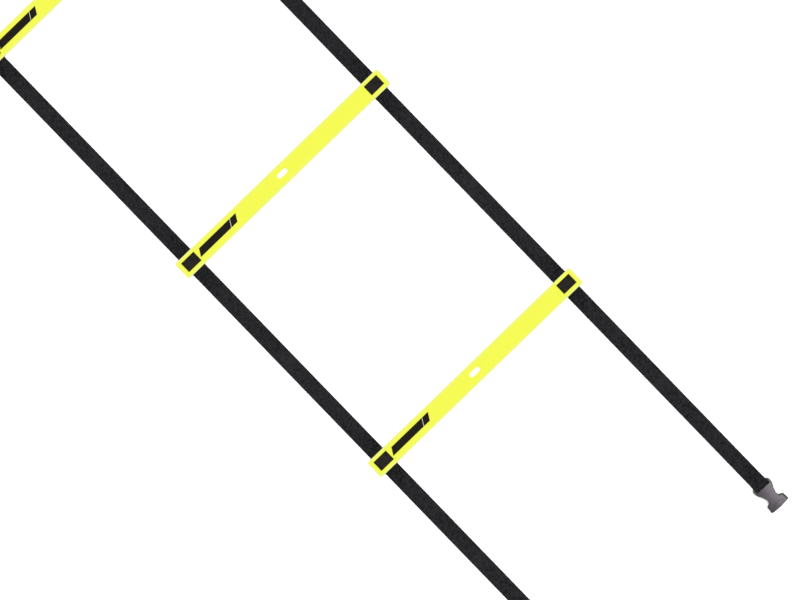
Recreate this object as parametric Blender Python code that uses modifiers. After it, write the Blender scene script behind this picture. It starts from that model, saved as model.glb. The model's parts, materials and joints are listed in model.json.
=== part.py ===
"""Agility ladder: flat plastic rungs threaded on two webbing straps, with a side-release
buckle half at each strap end.

The ladder lies flat on the ground. Its straps run along Y, its rungs along X, and its underside
is at Z = 0. The front end, with the socket halves of the buckles, points along -Y. The rear end,
with the plug halves, points along +Y. The origin is under the middle of the whole ladder.
"""

import math

import bmesh
import bpy
from mathutils import Matrix, Vector

MM = 0.001

# Layout
RUNG_COUNT = 8
RUNG_PITCH = 432.0 * MM
SLID_RUNG = 3  # this rung rests a little off the middle of its bay, towards the rear
SLID_DISTANCE = 18.2 * MM
STRAP_SPACING = 396.0 * MM
FRONT_END_LENGTH = 221.6 * MM  # last fold line to the socket's webbing bar
REAR_END_LENGTH = 149.9 * MM  # last fold line to the plug's webbing bar
FOLD_GAP = 0.3 * MM  # between two lengths of webbing at a fold line
FOLD_CLEARANCE = 0.2 * MM  # fold axis to the face of the rungs that fold together

# Webbing
STRAP_WIDTH = 25.4 * MM
STRAP_THICKNESS = 1.2 * MM
LOOP_THROAT = 16.0 * MM  # buckle bar to the point where the two layers meet
SEWN_LENGTH = 26.0 * MM
GROUND_CLEARANCE = 0.3 * MM
BAR_TACK_WIDTH = 19.0 * MM
BAR_TACK_LENGTH = 2.4 * MM
BAR_TACK_HEIGHT = 0.4 * MM
BAR_TACK_INSET = 3.5 * MM
SEAT_GAP = 0.3 * MM

# Rung
RUNG_WIDTH = 32.0 * MM
WINDOW_DEPTH = 18.5 * MM  # along the strap, between the two edge bars
WINDOW_REAR_SHIFT = 0.5 * MM  # towards the rear, off the middle of the rung's width
WINDOW_SIDE_CLEARANCE = 0.9 * MM
WINDOW_SPREAD = 0.6 * MM  # how far each window's middle lies outwards of its strap's middle
END_BAR_WIDTH = 7.4 * MM
STRAP_BAR_THICKNESS = 1.3 * MM  # the bars above and below the strap
STRAP_FACE_CLEARANCE = 0.3 * MM
RUNG_CORNER_RADIUS = 3.5 * MM
RUNG_EDGE_ROUND = 0.8 * MM
HOLE_LENGTH = 20.0 * MM
HOLE_WIDTH = 8.0 * MM
HOLE_SHIFT = 1.1 * MM  # towards the rear, off the middle of the rung's width

# Both buckle halves
BUCKLE_THICKNESS = 9.0 * MM
BUCKLE_WALL = 1.9 * MM  # above and below the hollow
BUCKLE_EDGE_ROUND = 0.7 * MM
BUCKLE_BAR_DIAMETER = 4.0 * MM
BAR_CLEARANCE = 0.3 * MM  # bar to webbing
SLOT_CLEARANCE = 0.4 * MM  # webbing to the slot's side walls
LOOP_GAP = 1.2 * MM  # webbing loop to the slot's front wall
ARM_WIDTH = 3.5 * MM  # the two arms that carry the bar
ARM_TAPER_SHARE = 0.8  # of the arm's width, lost at its rear end
ARM_TAPER_LENGTH = 3.8 * MM
MOUTH_WIDTH = 35.6 * MM
MOUTH_WALL = 3.0 * MM  # beside the hollow at the mouth

# Socket half
SOCKET_LENGTH = 38.1 * MM  # slot to mouth
SOCKET_MOUTH_BULGE = 1.4 * MM
SOCKET_WAIST_WIDTH = 18.5 * MM
SOCKET_FLOOR = 7.0 * MM  # solid block between the slot and the hollow
# Places along the socket and how far the outline stands between its waist and its full width
SOCKET_NECK_SHARES = (
    (0.0, 1.0), (0.06, 0.92), (0.12, 0.80), (0.242, 0.43),
    (0.365, 0.185), (0.46, 0.035), (0.50, 0.0),
)
SOCKET_FLARE_SHARES = ((0.545, 0.02), (0.60, 0.16), (0.655, 0.62))
SOCKET_BAND_SHARES = ((0.697, 0.85), (0.816, 0.925), (1.0, 1.0))
SOCKET_WINDOW_SHARES = (0.34, 0.40)  # where the hollow breaks out through the sides

# Plug half
PLUG_BASE_LENGTH = 11.0 * MM
PLUG_CLEARANCE = 0.3 * MM
PRONG_ARM_WIDTH = 3.0 * MM
PRONG_ROOT_SHARE = 0.80  # of the mouth's inner half width
GUIDE_WIDTH_SHARE = 0.42  # of the mouth's inner half width
GUIDE_LENGTH_SHARE = 0.70  # of the hollow's depth
PRONG_ARM_SHARE = 0.411  # of the hollow's depth, where the arm meets the barb
# Barb outline: share of the mouth's inner half width, share of the hollow's depth
PRONG_BARB_SHARES = (
    (1.083, 0.449), (1.069, 0.554), (0.903, 0.712), (0.66, 0.839), (0.458, 0.93),
    (0.347, 0.905), (0.50, 0.775), (0.667, 0.60),
)

# Facets
OVERRUN = 2.0 * MM  # how far a cutter passes the face it cuts
WELD_DISTANCE = 0.001 * MM
ARC_STEP = math.radians(15.0)
FLAT_ANGLE = math.radians(0.5)
SHARP_ANGLE = math.radians(20.0)
EDGE_SEGMENTS = 2
CURVE_SEGMENTS = 4
BAR_SIDES = 20

# Colour, roughness and metallic value of each finish
FINISHES = {
    "yellow_plastic": ((0.905, 0.947, 0.133, 1.0), 0.42, 0.0),
    "black_webbing": ((0.022, 0.022, 0.024, 1.0), 0.85, 0.0),
    "black_thread": ((0.030, 0.030, 0.032, 1.0), 0.70, 0.0),
    "grey_plastic": ((0.188, 0.171, 0.188, 1.0), 0.38, 0.0),
}

RUNG_THICKNESS = STRAP_THICKNESS + 2 * (STRAP_FACE_CLEARANCE + STRAP_BAR_THICKNESS)
WINDOW_LENGTH = STRAP_WIDTH + 2 * WINDOW_SIDE_CLEARANCE
WINDOW_SPACING = STRAP_SPACING + 2 * WINDOW_SPREAD
RUNG_LENGTH = WINDOW_SPACING + WINDOW_LENGTH + 2 * END_BAR_WIDTH
STRAP_UNDERSIDE = STRAP_BAR_THICKNESS + STRAP_FACE_CLEARANCE
SEWN_UNDERSIDE = GROUND_CLEARANCE + STRAP_THICKNESS
LOOP_INNER_RADIUS = BUCKLE_BAR_DIAMETER / 2 + BAR_CLEARANCE
LOOP_OUTER_RADIUS = LOOP_INNER_RADIUS + STRAP_THICKNESS
SLOT_FRONT = LOOP_OUTER_RADIUS + LOOP_GAP
SLOT_HALF_WIDTH = STRAP_WIDTH / 2 + SLOT_CLEARANCE
BUCKLE_HALF_WIDTH = SLOT_HALF_WIDTH + ARM_WIDTH
MOUTH_INNER_HALF_WIDTH = MOUTH_WIDTH / 2 - MOUTH_WALL
HOLLOW_HEIGHT = BUCKLE_THICKNESS - 2 * BUCKLE_WALL
HOLLOW_DEPTH = SOCKET_LENGTH - SOCKET_FLOOR
SOCKET_REACH = SLOT_FRONT + SOCKET_LENGTH + SOCKET_MOUTH_BULGE
PLUG_FACE = SLOT_FRONT + PLUG_BASE_LENGTH
PRONG_THICKNESS = HOLLOW_HEIGHT - 2 * PLUG_CLEARANCE
PRONG_ROOT_OFFSET = PRONG_ROOT_SHARE * MOUTH_INNER_HALF_WIDTH
BUCKLE_AXIS_HEIGHT = BUCKLE_THICKNESS / 2


def clear_scene():
    """Remove whatever the file holds."""
    for obj in list(bpy.data.objects):
        bpy.data.objects.remove(obj)


def new_collection(name):
    """A collection linked into the scene."""
    collection = bpy.data.collections.new(name)
    bpy.context.scene.collection.children.link(collection)
    return collection


clear_scene()
LADDER = new_collection("agility_ladder")
CUTTERS = new_collection("cutters")


def arc(centre_x, centre_y, radius, start, end):
    """Corner points along an arc, both ends included."""
    steps = max(2, round(abs(end - start) / ARC_STEP))
    angles = [start + (end - start) * step / steps for step in range(steps + 1)]
    return [
        (centre_x + radius * math.cos(angle), centre_y + radius * math.sin(angle), False)
        for angle in angles
    ]


def corners(*points):
    """Points that the outline joins with straight lines."""
    return [(x, y, False) for x, y in points]


def smooth(*points):
    """Points that the outline runs through in one curve."""
    return [(x, y, True) for x, y in points]


def mirrored(points):
    """The same stretch of outline on the other side of the Y axis, run backwards."""
    return [(-x, y, is_smooth) for x, y, is_smooth in reversed(points)]


def rectangle(low_x, low_y, high_x, high_y):
    """Outline of a rectangle from its low and high corners."""
    return corners((low_x, low_y), (high_x, low_y), (high_x, high_y), (low_x, high_y))


def rounded_rectangle(length, width, radius):
    """Outline of a rectangle with round corners, centred on the origin."""
    quarter = math.pi / 2
    x = length / 2 - radius
    y = width / 2 - radius
    outline = []
    for turn, (side_x, side_y) in enumerate(((1, 1), (-1, 1), (-1, -1), (1, -1))):
        outline += arc(side_x * x, side_y * y, radius, turn * quarter, (turn + 1) * quarter)
    return outline


def flat_solid(name, outlines, thickness, across="Z"):
    """A flat outline with any holes, given a thickness.

    With across="Z" the outline lies in X and Y. With across="X" its first coordinate runs along
    Y and its second along Z.
    """
    curve = bpy.data.curves.new(name, "CURVE")
    curve.dimensions = "2D"
    curve.fill_mode = "BOTH"
    curve.extrude = thickness / 2
    curve.resolution_u = CURVE_SEGMENTS
    for outline in outlines:
        spline = curve.splines.new("BEZIER")
        spline.bezier_points.add(len(outline) - 1)
        for knot, (x, y, is_smooth) in zip(spline.bezier_points, outline):
            knot.co = (x, y, 0)
            knot.handle_left_type = "AUTO" if is_smooth else "VECTOR"
            knot.handle_right_type = "AUTO" if is_smooth else "VECTOR"
        spline.use_cyclic_u = True
    source = bpy.data.objects.new(name, curve)
    LADDER.objects.link(source)
    depsgraph = bpy.context.evaluated_depsgraph_get()
    mesh = bpy.data.meshes.new_from_object(source.evaluated_get(depsgraph))
    bpy.data.objects.remove(source)
    tidy_mesh(mesh)
    if across == "X":
        mesh.transform(Matrix(((0, 0, 1), (1, 0, 0), (0, 1, 0))).to_4x4())
    return mesh


def tidy_mesh(mesh):
    """Weld the caps of an outline to its walls and clear the cuts across its flat faces."""
    bm = bmesh.new()
    bm.from_mesh(mesh)
    bmesh.ops.remove_doubles(bm, verts=bm.verts, dist=WELD_DISTANCE)
    bmesh.ops.dissolve_limit(bm, angle_limit=FLAT_ANGLE, verts=bm.verts, edges=bm.edges)
    bmesh.ops.recalc_face_normals(bm, faces=bm.faces)
    bm.to_mesh(mesh)
    bm.free()


def box_mesh(name, length_x, length_y, length_z):
    """A box centred on its origin."""
    mesh = bpy.data.meshes.new(name)
    bm = bmesh.new()
    bmesh.ops.create_cube(bm, size=1)
    bmesh.ops.scale(bm, vec=(length_x, length_y, length_z), verts=bm.verts)
    bm.to_mesh(mesh)
    bm.free()
    return mesh


def rod_mesh(name, radius, length, axis):
    """A round rod centred on its origin, along X or Z."""
    mesh = bpy.data.meshes.new(name)
    bm = bmesh.new()
    bmesh.ops.create_cone(
        bm, cap_ends=True, segments=BAR_SIDES, radius1=radius, radius2=radius, depth=length
    )
    bm.to_mesh(mesh)
    bm.free()
    if axis == "X":
        mesh.transform(Matrix.Rotation(math.pi / 2, 4, "Y"))
    return mesh


def add_cutter(mesh, place=(0, 0, 0)):
    """An object that only shapes another one."""
    cutter = bpy.data.objects.new(mesh.name, mesh)
    cutter.location = place
    cutter.hide_render = True
    cutter.display_type = "WIRE"
    CUTTERS.objects.link(cutter)
    return cutter


def shaped_mesh(name, blank, steps, edge_round=0):
    """The blank with its outer edges rounded, then cut or joined by each step's shape in turn."""
    pattern = bpy.data.objects.new(name, blank)
    LADDER.objects.link(pattern)
    if edge_round:
        rounding = pattern.modifiers.new("edge_round", "BEVEL")
        rounding.width = edge_round
        rounding.segments = EDGE_SEGMENTS
        rounding.limit_method = "ANGLE"
        rounding.angle_limit = math.radians(60.0)
    for operation, cutter in steps:
        boolean = pattern.modifiers.new(cutter.name, "BOOLEAN")
        boolean.operation = operation
        boolean.solver = "EXACT"
        boolean.object = cutter
    depsgraph = bpy.context.evaluated_depsgraph_get()
    mesh = bpy.data.meshes.new_from_object(pattern.evaluated_get(depsgraph))
    mesh.name = name
    bpy.data.objects.remove(pattern)
    for cutter in {cutter for _, cutter in steps}:
        bpy.data.objects.remove(cutter)
    mesh.shade_smooth()
    mesh.set_sharp_from_angle(angle=SHARP_ANGLE)
    return mesh


def make_rung_mesh():
    """A flat bar with a window for the strap near each end and an oblong hole in the middle.

    At a window the strap passes over a centre bar and under the two edge bars.
    """
    outline = rounded_rectangle(RUNG_LENGTH, RUNG_WIDTH, RUNG_CORNER_RADIUS)
    blank = flat_solid("rung_blank", [outline], RUNG_THICKNESS)
    blank.transform(Matrix.Translation((0, 0, RUNG_THICKNESS / 2)))
    past_edge = RUNG_WIDTH / 2 + OVERRUN
    past_top = RUNG_THICKNESS + OVERRUN
    front = WINDOW_REAR_SHIFT - WINDOW_DEPTH / 2
    rear = WINDOW_REAR_SHIFT + WINDOW_DEPTH / 2
    roof = RUNG_THICKNESS - STRAP_BAR_THICKNESS
    passage = corners(
        (-past_edge, -OVERRUN), (front, -OVERRUN), (front, STRAP_BAR_THICKNESS),
        (rear, STRAP_BAR_THICKNESS), (rear, -OVERRUN), (past_edge, -OVERRUN),
        (past_edge, roof), (rear, roof), (rear, past_top),
        (front, past_top), (front, roof), (-past_edge, roof),
    )
    steps = []
    for side in (-1, 1):
        cutter = flat_solid("strap_passage", [passage], WINDOW_LENGTH, across="X")
        place = (side * WINDOW_SPACING / 2, 0, 0)
        steps.append(("DIFFERENCE", add_cutter(cutter, place)))
    straight = HOLE_LENGTH / 2 - HOLE_WIDTH / 2
    quarter = math.pi / 2
    hole = arc(straight, HOLE_SHIFT, HOLE_WIDTH / 2, -quarter, quarter)
    hole += arc(-straight, HOLE_SHIFT, HOLE_WIDTH / 2, quarter, 3 * quarter)
    hole_cutter = flat_solid("oblong_hole", [hole], 2 * past_top)
    steps.append(("DIFFERENCE", add_cutter(hole_cutter)))
    return shaped_mesh("rung", blank, steps, RUNG_EDGE_ROUND)


def tangent_angles(point_x, point_y, centre_x, centre_y, radius):
    """Where the two lines from a point touch a circle, as angles round the circle."""
    away = math.atan2(point_y - centre_y, point_x - centre_x) % (2 * math.pi)
    distance = math.hypot(point_x - centre_x, point_y - centre_y)
    swing = math.acos(radius / distance)
    return away - swing, away + swing


def make_strap_end_mesh(name, length):
    """A strap end from its fold line to its loop round the buckle bar, which is sewn shut."""
    throat = length - LOOP_THROAT
    sewn_start = throat - SEWN_LENGTH
    sewn_top = SEWN_UNDERSIDE + STRAP_THICKNESS
    return_layer = SEWN_UNDERSIDE - STRAP_THICKNESS
    bar = (length, BUCKLE_AXIS_HEIGHT)
    top_outer, _ = tangent_angles(throat, sewn_top, *bar, LOOP_OUTER_RADIUS)
    _, bottom_outer = tangent_angles(throat, return_layer, *bar, LOOP_OUTER_RADIUS)
    top_inner, bottom_inner = tangent_angles(throat, SEWN_UNDERSIDE, *bar, LOOP_INNER_RADIUS)
    full_turn = 2 * math.pi
    outer = corners(
        (FOLD_GAP / 2, STRAP_UNDERSIDE), (sewn_start, SEWN_UNDERSIDE),
        (sewn_start, return_layer), (throat, return_layer),
    )
    outer += arc(*bar, LOOP_OUTER_RADIUS, bottom_outer, top_outer + full_turn)
    outer += corners((throat, sewn_top), (FOLD_GAP / 2, STRAP_UNDERSIDE + STRAP_THICKNESS))
    inner = corners((throat, SEWN_UNDERSIDE))
    inner += arc(*bar, LOOP_INNER_RADIUS, bottom_inner, top_inner + full_turn)
    mesh = flat_solid(name, [outer, inner], STRAP_WIDTH, across="X")
    mesh.transform(Matrix.Translation((0, -length, -BUCKLE_AXIS_HEIGHT)))
    return mesh


def arm_outline():
    """Right side of the two arms that carry the webbing bar, from the rear to the slot's front."""
    rear = -BUCKLE_THICKNESS / 2
    return corners(
        (BUCKLE_HALF_WIDTH - ARM_TAPER_SHARE * ARM_WIDTH, rear),
        (BUCKLE_HALF_WIDTH, rear + ARM_TAPER_LENGTH),
    )


def rear_end_steps():
    """Round the rear end of a buckle half, open its slot and add the webbing bar."""
    radius = BUCKLE_THICKNESS / 2
    reach = SOCKET_REACH + OVERRUN
    quarter = math.pi / 2
    side = arc(0, 0, radius, quarter, 3 * quarter)
    side += corners((reach, -radius - OVERRUN), (reach, radius + OVERRUN))
    side_view = flat_solid("side_view", [side], 2 * (BUCKLE_HALF_WIDTH + OVERRUN), across="X")
    slot = rectangle(-SLOT_HALF_WIDTH, -radius - OVERRUN, SLOT_HALF_WIDTH, SLOT_FRONT)
    slot_cutter = flat_solid("webbing_slot", [slot], BUCKLE_THICKNESS + 2 * OVERRUN)
    bar_length = 2 * SLOT_HALF_WIDTH + ARM_WIDTH
    bar = rod_mesh("webbing_bar", BUCKLE_BAR_DIAMETER / 2, bar_length, "X")
    return [
        ("INTERSECT", add_cutter(side_view)),
        ("DIFFERENCE", add_cutter(slot_cutter)),
        ("UNION", add_cutter(bar)),
    ]


def between(low, high, share):
    """The value that lies a share of the way from low to high."""
    return low + (high - low) * share


def make_socket_mesh():
    """Socket half of a buckle: an hourglass box, hollow from its mouth, with open sides."""
    waist = SOCKET_WAIST_WIDTH / 2
    mouth = MOUTH_WIDTH / 2

    def stretch(shares, full_width):
        return [
            (between(waist, full_width, width_share), SLOT_FRONT + SOCKET_LENGTH * length_share)
            for length_share, width_share in shares
        ]

    neck = stretch(SOCKET_NECK_SHARES, BUCKLE_HALF_WIDTH)
    flare = stretch(SOCKET_FLARE_SHARES, mouth)
    band = stretch(SOCKET_BAND_SHARES, mouth)
    right = arm_outline() + corners(neck[0]) + smooth(*neck[1:], *flare) + corners(*band)
    outline = right + smooth((0, SOCKET_REACH)) + mirrored(right)
    blank = flat_solid("socket_blank", [outline], BUCKLE_THICKNESS)
    floor = SLOT_FRONT + SOCKET_FLOOR
    window_start, window_full = (SLOT_FRONT + SOCKET_LENGTH * s for s in SOCKET_WINDOW_SHARES)
    hollow_right = corners(
        (waist, floor), (waist, window_start), (MOUTH_INNER_HALF_WIDTH, window_full),
        (MOUTH_INNER_HALF_WIDTH, SOCKET_REACH + OVERRUN),
    )
    hollow = flat_solid("socket_hollow", [hollow_right + mirrored(hollow_right)], HOLLOW_HEIGHT)
    steps = rear_end_steps() + [("DIFFERENCE", add_cutter(hollow))]
    return shaped_mesh("socket_buckle", blank, steps, BUCKLE_EDGE_ROUND)


def make_plug_mesh():
    """Plug half of a buckle: a base with the webbing bar, a centre guide and two prong seats."""
    right = arm_outline() + corners((BUCKLE_HALF_WIDTH, SLOT_FRONT), (MOUTH_WIDTH / 2, PLUG_FACE))
    blank = flat_solid("plug_blank", [right + mirrored(right)], BUCKLE_THICKNESS)
    guide_half = GUIDE_WIDTH_SHARE * MOUTH_INNER_HALF_WIDTH / 2
    guide_end = PLUG_FACE + GUIDE_LENGTH_SHARE * HOLLOW_DEPTH
    guide = corners((-guide_half, PLUG_FACE - OVERRUN), (guide_half, PLUG_FACE - OVERRUN))
    guide += arc(0, guide_end - guide_half, guide_half, 0, math.pi)
    guide_solid = flat_solid("centre_guide", [guide], PRONG_THICKNESS)
    seat = rod_mesh("prong_seat", PRONG_ARM_WIDTH / 2 + PLUG_CLEARANCE, HOLLOW_HEIGHT, "Z")
    steps = rear_end_steps() + [("UNION", add_cutter(guide_solid))]
    for side in (-1, 1):
        place = (side * PRONG_ROOT_OFFSET, PLUG_FACE, 0)
        steps.append(("DIFFERENCE", add_cutter(seat, place)))
    return shaped_mesh("plug_buckle", blank, steps, BUCKLE_EDGE_ROUND)


def make_prong_mesh(side):
    """A sprung prong: a slim arm from its round root to a barb. Side is 1 for the +X prong."""
    half = PRONG_ARM_WIDTH / 2
    arm_end = PRONG_ARM_SHARE * HOLLOW_DEPTH
    barb = [
        (width_share * MOUTH_INNER_HALF_WIDTH - PRONG_ROOT_OFFSET, length_share * HOLLOW_DEPTH)
        for width_share, length_share in PRONG_BARB_SHARES
    ]
    outline = arc(0, 0, half, math.pi, 2 * math.pi)
    outline += corners((half, arm_end), barb[0]) + smooth(*barb[1:]) + corners((-half, arm_end))
    if side < 0:
        outline = mirrored(outline)
    return flat_solid("plug_prong", [outline], PRONG_THICKNESS)


def finish_material(name, finish):
    """A material of its own for one piece, in one of the ladder's finishes."""
    colour, roughness, metallic = FINISHES[finish]
    material = bpy.data.materials.new(name)
    material.use_nodes = True
    shader = material.node_tree.nodes["Principled BSDF"]
    shader.inputs["Base Color"].default_value = colour
    shader.inputs["Roughness"].default_value = roughness
    shader.inputs["Metallic"].default_value = metallic
    material.diffuse_color = colour
    return material


def world_place(obj):
    """Where an object's origin is, as the sum of its own and its parents' places."""
    place = Vector((0, 0, 0))
    while obj:
        place += obj.location
        obj = obj.parent
    return place


def add_axis(name, place, parent=None):
    """An empty on a joint's axis, which carries what moves there."""
    axis = bpy.data.objects.new(name, None)
    LADDER.objects.link(axis)
    axis.parent = parent
    axis.location = Vector(place) - world_place(parent)
    return axis


def add_piece(name, mesh, finish, place, parent, turn=0):
    """One piece of the ladder, which may share its mesh with others."""
    piece = bpy.data.objects.new(name, mesh)
    LADDER.objects.link(piece)
    if not mesh.materials:
        mesh.materials.append(None)
    piece.material_slots[0].link = "OBJECT"
    piece.material_slots[0].material = finish_material(name, finish)
    piece.parent = parent
    piece.location = Vector(place) - world_place(parent)
    piece.rotation_euler.z = turn
    return piece


RUNG_MESH = make_rung_mesh()
SOCKET_MESH = make_socket_mesh()
PLUG_MESH = make_plug_mesh()
PRONG_MESHES = {side: make_prong_mesh(side) for side in (-1, 1)}
STRAP_MESH = box_mesh("strap_length", STRAP_WIDTH, RUNG_PITCH - FOLD_GAP, STRAP_THICKNESS)
BAR_TACK_MESH = box_mesh("bar_tack", BAR_TACK_WIDTH, BAR_TACK_LENGTH, BAR_TACK_HEIGHT)

PRONG_REACH = max(vertex.co.y for vertex in PRONG_MESHES[1].vertices)
FRONT_REACH = RUNG_PITCH / 2 + FRONT_END_LENGTH + SOCKET_REACH
REAR_REACH = RUNG_PITCH / 2 + REAR_END_LENGTH + PLUG_FACE + PRONG_REACH
MIDDLE_SHIFT = (FRONT_REACH - REAR_REACH) / 2
SIDES = {"left": -1, "right": 1}


def bay_place(number):
    """Distance along the ladder of the middle of a rung's bay, counted from 1 at the front end."""
    return (number - (RUNG_COUNT + 1) / 2) * RUNG_PITCH + MIDDLE_SHIFT


def rung_place(number):
    """Distance along the ladder of a rung as it rests in its bay."""
    return bay_place(number) + (SLID_DISTANCE if number == SLID_RUNG else 0)


def fold_place(number):
    """Fold line between a rung and the next: a point in the middle of the ladder's width."""
    folds_up = number % 2 == 1
    height = RUNG_THICKNESS + FOLD_CLEARANCE if folds_up else -FOLD_CLEARANCE
    return Vector((0, bay_place(number) + RUNG_PITCH / 2, height))


def strap_end_fold_place(side, end):
    """Fold line of one strap end. End is -1 at the front and 1 at the rear."""
    bay = bay_place(1 if end < 0 else RUNG_COUNT)
    height = RUNG_THICKNESS + FOLD_CLEARANCE
    return Vector((side * STRAP_SPACING / 2, bay + end * RUNG_PITCH / 2, height))


def buckle_bar_place(side, end):
    """Middle of a buckle's webbing bar."""
    length = FRONT_END_LENGTH if end < 0 else REAR_END_LENGTH
    fold = strap_end_fold_place(side, end)
    return Vector((fold.x, fold.y + end * length, BUCKLE_AXIS_HEIGHT))


def prong_root_place(side, prong_side):
    """Axis on which a plug's prong flexes."""
    bar = buckle_bar_place(side, 1)
    return bar + Vector((prong_side * PRONG_ROOT_OFFSET, PLUG_FACE, 0))


def add_bay(number, parent):
    """One rung and the two lengths of strap that it holds, from fold line to fold line."""
    for name, side in SIDES.items():
        strap_middle = STRAP_UNDERSIDE + STRAP_THICKNESS / 2
        place = (side * STRAP_SPACING / 2, bay_place(number), strap_middle)
        add_piece(f"{name}_strap_{number}", STRAP_MESH, "black_webbing", place, parent)
    place = (0, rung_place(number), 0)
    add_piece(f"rung_{number}", RUNG_MESH, "yellow_plastic", place, parent)


def add_strap_end(name, side, end, mesh, parent):
    """One strap end with its sewn loop and bar tacks. Returns the empty on its fold line."""
    axis = add_axis(f"{name}_fold_axis", strap_end_fold_place(side, end), parent)
    bar = buckle_bar_place(side, end)
    turn = math.pi if end < 0 else 0
    add_piece(f"{name}_strap_end", mesh, "black_webbing", bar, axis, turn)
    top = max(STRAP_UNDERSIDE, SEWN_UNDERSIDE) + STRAP_THICKNESS
    height = top + SEAT_GAP + BAR_TACK_HEIGHT / 2
    from_bar = {
        "outer": LOOP_THROAT + BAR_TACK_INSET,
        "inner": LOOP_THROAT + SEWN_LENGTH - BAR_TACK_INSET,
    }
    for which, distance in from_bar.items():
        place = (bar.x, bar.y - end * distance, height)
        add_piece(f"{name}_bar_tack_{which}", BAR_TACK_MESH, "black_thread", place, axis)
    return axis


def add_front_end(parent):
    """The two strap ends with the socket halves of the buckles."""
    mesh = make_strap_end_mesh("front_strap_end", FRONT_END_LENGTH)
    for name, side in SIDES.items():
        axis = add_strap_end(f"{name}_front", side, -1, mesh, parent)
        bar = buckle_bar_place(side, -1)
        add_piece(f"{name}_socket_buckle", SOCKET_MESH, "grey_plastic", bar, axis, math.pi)


def add_rear_end(parent):
    """The two strap ends with the plug halves of the buckles and their prongs."""
    mesh = make_strap_end_mesh("rear_strap_end", REAR_END_LENGTH)
    for name, side in SIDES.items():
        axis = add_strap_end(f"{name}_rear", side, 1, mesh, parent)
        bar = buckle_bar_place(side, 1)
        plug = add_piece(f"{name}_plug_buckle", PLUG_MESH, "grey_plastic", bar, axis)
        for prong_side in (-1, 1):
            which = "outer" if prong_side == side else "inner"
            place = prong_root_place(side, prong_side)
            prong = PRONG_MESHES[prong_side]
            add_piece(f"{name}_plug_prong_{which}", prong, "grey_plastic", place, plug)


def build_ladder():
    """Every bay hangs on the fold line that joins it to the bay before it."""
    carrier = add_axis("first_bay", (0, bay_place(1), 0))
    add_bay(1, carrier)
    add_front_end(carrier)
    for number in range(2, RUNG_COUNT + 1):
        carrier = add_axis(f"fold_{number - 1}_axis", fold_place(number - 1), carrier)
        add_bay(number, carrier)
    add_rear_end(carrier)


build_ladder()
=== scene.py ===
"""Agility ladder laid out on white ground, seen from straight above near its front end.

Rungs of yellow plastic are threaded on two lengths of black webbing. Each webbing end is looped
round the bar of a buckle half and sewn. Lengths are in metres and the ground is at Z = 0.
"""

import json
import math

import bmesh
import bpy
from mathutils import Matrix, Vector

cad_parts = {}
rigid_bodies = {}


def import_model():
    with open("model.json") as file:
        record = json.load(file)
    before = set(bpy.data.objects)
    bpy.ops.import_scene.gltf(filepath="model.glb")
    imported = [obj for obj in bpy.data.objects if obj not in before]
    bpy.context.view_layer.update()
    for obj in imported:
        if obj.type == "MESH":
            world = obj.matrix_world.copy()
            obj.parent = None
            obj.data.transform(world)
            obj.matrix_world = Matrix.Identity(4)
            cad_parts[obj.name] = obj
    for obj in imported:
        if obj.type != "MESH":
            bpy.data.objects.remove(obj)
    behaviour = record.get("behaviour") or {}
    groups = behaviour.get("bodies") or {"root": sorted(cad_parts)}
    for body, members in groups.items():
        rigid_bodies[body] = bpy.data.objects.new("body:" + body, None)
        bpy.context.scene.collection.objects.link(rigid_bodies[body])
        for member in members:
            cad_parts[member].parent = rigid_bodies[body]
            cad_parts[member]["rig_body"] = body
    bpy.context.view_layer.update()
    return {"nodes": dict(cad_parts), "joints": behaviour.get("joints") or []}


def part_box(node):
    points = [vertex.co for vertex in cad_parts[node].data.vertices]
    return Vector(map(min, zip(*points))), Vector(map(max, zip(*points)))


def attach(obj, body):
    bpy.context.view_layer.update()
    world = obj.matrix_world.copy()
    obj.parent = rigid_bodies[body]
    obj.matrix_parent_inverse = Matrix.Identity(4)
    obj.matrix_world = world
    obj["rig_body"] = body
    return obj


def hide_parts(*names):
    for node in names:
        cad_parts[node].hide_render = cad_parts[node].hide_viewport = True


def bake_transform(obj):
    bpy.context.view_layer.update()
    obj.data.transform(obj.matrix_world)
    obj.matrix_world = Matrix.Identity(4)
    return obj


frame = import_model()

MM = 0.001

# Camera and light
VIEW_WIDTH = 1.25
VIEW_MIDDLE = (-0.0056, -1.31325)
VIEW_TURN = math.radians(-44.06)
LENS = 200.0
SENSOR = 36.0
GROUND_SIZE = 40.0
SKY_LIGHT = 0.50
BACKDROP_LIGHT = 1.0
KEY_LIGHT = 0.87
KEY_SPREAD = math.radians(24.0)
KEY_TILT = math.radians(12.0)
FILL_LIGHT = 0.73
FILL_SPREAD = math.radians(90.0)
WHITE = (1.0, 1.0, 1.0, 1.0)
GROUND_COLOUR = (0.80, 0.80, 0.80, 1.0)
GROUND_SEEN_COLOUR = (1.50, 1.50, 1.50, 1.0)

# Webbing
SELVEDGE_WIDTH = 1.5 * MM
SELVEDGE_ROUND = 0.5 * MM
SELVEDGE_DROP = 0.04 * MM
SELVEDGE_CORNER_SHARE = 0.3
CORDS_ACROSS = 11
CORD_VALLEY = 0.13 * MM
CORD_SHOULDER = 0.03 * MM
FOLD_REACH = 3.6 * MM
FOLD_ROWS = 16
ROW_STEP = 24.0 * MM
STITCH_PITCH = 1.7 * MM
SELVEDGE_STITCHES = 2  # to each stitch of a cord
CHEVRON_SLOPE = 0.9
THROAT_BEND = 2.0 * MM
BEND_ROWS = 6
LOOP_ROWS = 22
LOOP_THROAT = 16.0 * MM
LOOP_RADIUS = 2.9 * MM
LOOP_SLACK = 0.8 * MM
SEWN_LENGTH = 26.0 * MM
SEWN_TOP_HEIGHT = 2.1 * MM
SEWN_RETURN_HEIGHT = 0.9 * MM
CORD_FLATNESS = 3
LAY = "lay"
WEBBING_DEEP = (0.0030, 0.0030, 0.0034, 1.0)
WEBBING_PALE = (0.0300, 0.0300, 0.0332, 1.0)
# Painted warm light bounced from the yellow rung onto the webbing in its window
WEBBING_BOUNCE_LIGHT = (0.0255, 0.0228, 0.0195, 1.0)
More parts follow.
